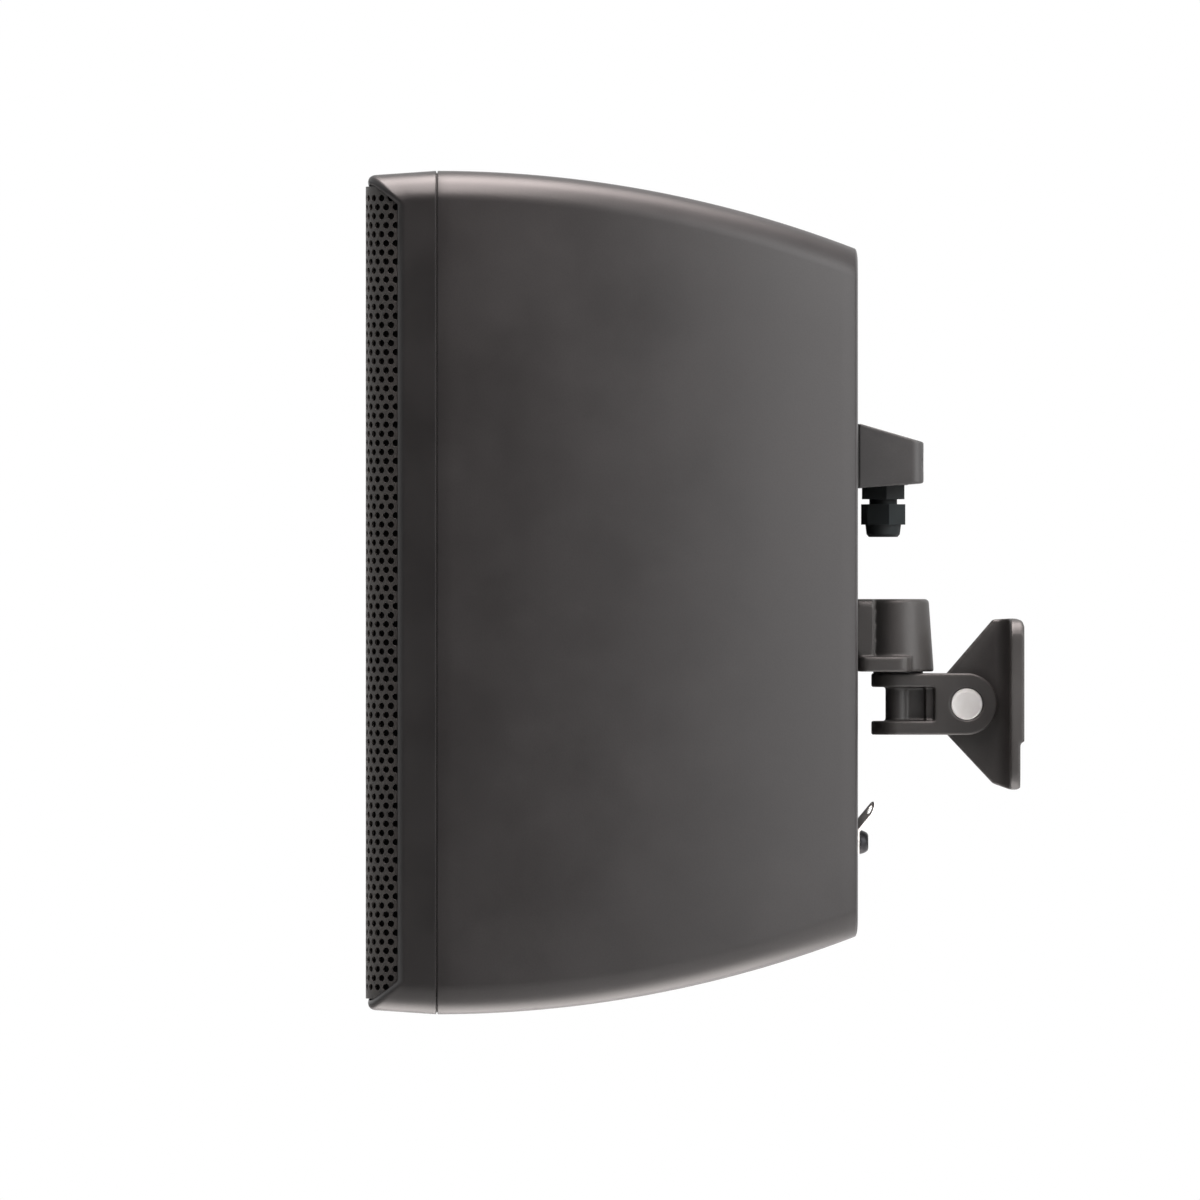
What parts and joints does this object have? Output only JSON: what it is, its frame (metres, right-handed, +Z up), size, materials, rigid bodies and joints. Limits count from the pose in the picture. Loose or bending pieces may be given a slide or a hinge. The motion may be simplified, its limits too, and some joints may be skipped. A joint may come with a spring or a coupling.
{
  "type": "wall speaker",
  "caption": "Weatherproof two-way wall speaker with a bowed cabinet, a wrapped perforated grille and a cast bracket that tilts and pans.",
  "frame": {"origin": "on the wall, at the middle of the bracket's back face, level with the tilt axis", "axes": "+Y into the wall, so the grille faces -Y; +Z up; +X along the tilt axis"},
  "size_m": [0.262, 0.33, 0.421],
  "materials": {
    "shell_plastic": "fine textured ABS, dark grey",
    "rim_plastic": "satin ABS, near black",
    "grille_paint": "powder-coated perforated steel",
    "cloth": "black acoustic cloth",
    "gasket_rubber": "black foam rubber",
    "black_screw": "black-coated steel screws",
    "frame_paint": "black painted pressed steel",
    "cone_paper": "coated paper, black",
    "surround_rubber": "black rubber",
    "spider_cloth": "resin-stiffened cloth",
    "copper": "enamelled copper wire",
    "zinc_steel": "zinc-plated steel",
    "ferrite": "ferrite",
    "horn_plastic": "black moulded plastic",
    "driver_metal": "black painted steel",
    "board_green": "glass-fibre board",
    "film_red": "film capacitors",
    "pillar_brass": "brass",
    "core_steel": "laminated transformer core",
    "wadding": "polyester wadding",
    "terminal_plastic": "terminal block plastic",
    "cover_plastic": "dark grey ABS",
    "gland_plastic": "black nylon",
    "seal_rubber": "rubber seal",
    "bracket_paint": "die-cast aluminium, powder-coated dark grey",
    "stainless": "stainless steel",
    "cap_metal": "satin silver",
    "washer_nylon": "black nylon"
  },
  "bodies": {
    "wall_mount": {"wall_bracket": "bracket_paint", "tilt_washers": "washer_nylon"},
    "arm": {"swivel_arm": "bracket_paint", "tilt_bolt": "zinc_steel", "tilt_nut": "zinc_steel", "tilt_caps": "cap_metal", "pan_bolt": "black_screw", "pan_nut": "black_screw", "pan_washer": "washer_nylon"},
    "speaker": {"cabinet_shell": "shell_plastic", "front_baffle": "rim_plastic", "seam_gasket": "gasket_rubber", "grille": "grille_paint", "grille_cloth": "cloth", "front_screws": "black_screw", "woofer_frame": "frame_paint", "surround": "surround_rubber", "spider": "spider_cloth", "magnet_top_plate": "zinc_steel", "magnet_ring": "ferrite", "pole_plate": "zinc_steel", "woofer_screws": "black_screw", "horn": "horn_plastic", "compression_driver": "driver_metal", "horn_screws": "black_screw", "port_tubes": "horn_plastic", "crossover_board": "board_green", "crossover_coils": "copper", "crossover_capacitors": "film_red", "board_pillars": "pillar_brass", "transformer": "core_steel", "damping_pad": "wadding", "terminal_block": "terminal_plastic", "terminal_cover": "cover_plastic", "cover_gasket": "gasket_rubber", "cover_screws": "black_screw", "gland_body": "gland_plastic", "gland_seal": "seal_rubber", "gland_dome_nut": "gland_plastic", "gland_locknut": "gland_plastic", "mount_shoe": "bracket_paint", "backing_plate": "zinc_steel", "shoe_screws": "black_screw", "safety_tab": "stainless", "tab_screw": "black_screw"},
    "cone": {"woofer_cone": "cone_paper", "dust_cap": "cone_paper", "voice_coil": "copper"}
  },
  "joints": [
    {"name": "tilt", "type": "hinge", "parent": "wall_mount", "child": "arm", "pos_m": [0, -0.0286, 0], "axis": [1, 0, 0], "range_deg": [-20, 30]},
    {"name": "pan", "type": "hinge", "parent": "arm", "child": "speaker", "pos_m": [0, -0.063, 0], "axis": [0, 0, 1], "range_deg": [-45, 45]},
    {"name": "cone_travel", "type": "slide", "parent": "speaker", "child": "cone", "axis": [0, -1, 0], "range_m": [-0.004, 0.004], "stiffness_N_per_m": 2500, "deforming": ["surround", "spider"]}
  ]
}
